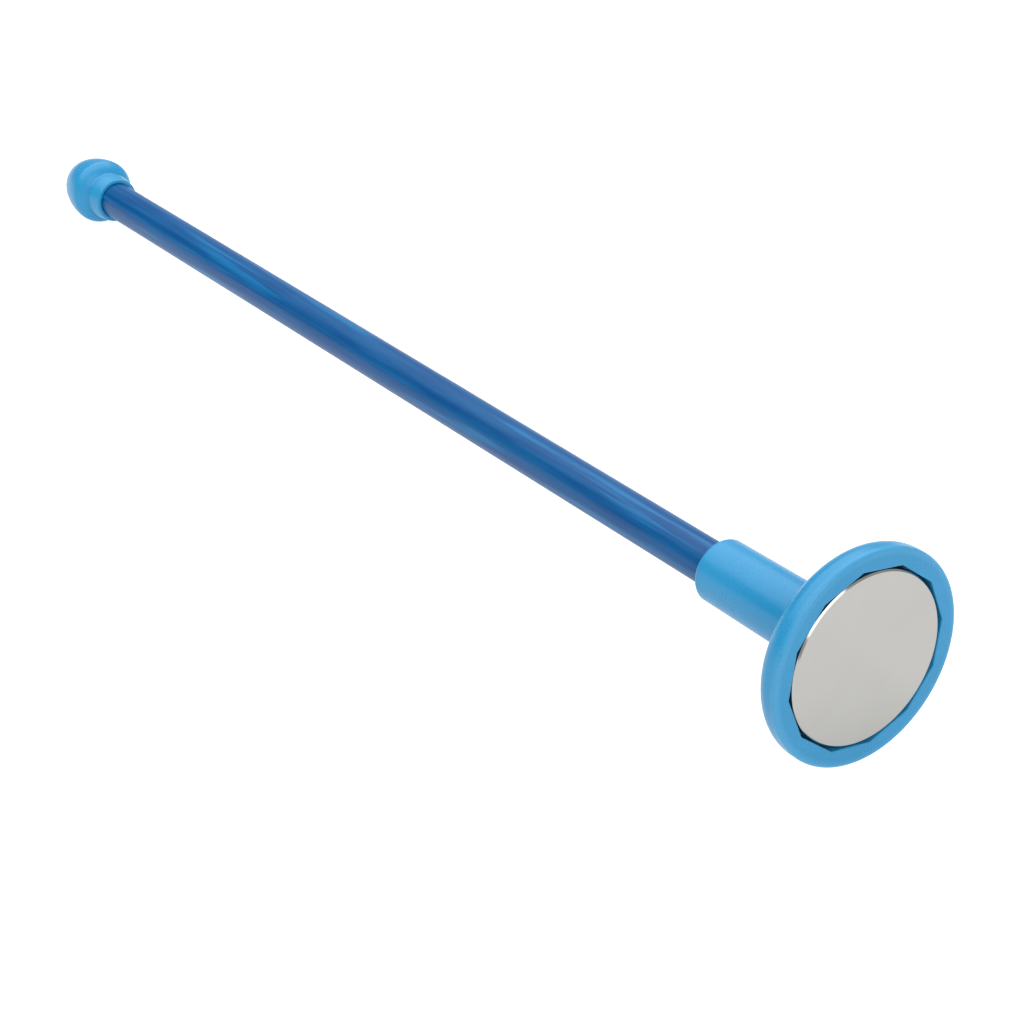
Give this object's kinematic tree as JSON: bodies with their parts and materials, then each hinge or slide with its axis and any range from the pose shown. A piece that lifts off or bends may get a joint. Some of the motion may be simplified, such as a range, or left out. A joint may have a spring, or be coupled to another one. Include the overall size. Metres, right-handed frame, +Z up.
{
  "type": "magnetic alignment rod",
  "caption": "Straight round rod with a disc magnet in a round moulded flange at one end and an egg-shaped ball cap at the other.",
  "frame": {"origin": "centre of the magnet's flat face", "axes": "+X is the rod's axis, out of the magnet's face; the rod and the ball cap lie along -X; +Z is up with the tool held level"},
  "size_m": [0.2215, 0.0312, 0.0312],
  "materials": {
    "moulded_plastic": "satin light blue moulding",
    "magnet_plating": "bright nickel plate",
    "fibre_rod": "semi-gloss blue with fibre streaks along it",
    "glue": "clear set adhesive, hidden"
  },
  "bodies": {
    "root": {"head_holder": "moulded_plastic", "disc_magnet": "magnet_plating", "magnet_glue": "glue", "head_glue": "glue", "cap_glue": "glue", "rod": "fibre_rod", "ball_cap": "moulded_plastic"}
  },
  "joints": []
}
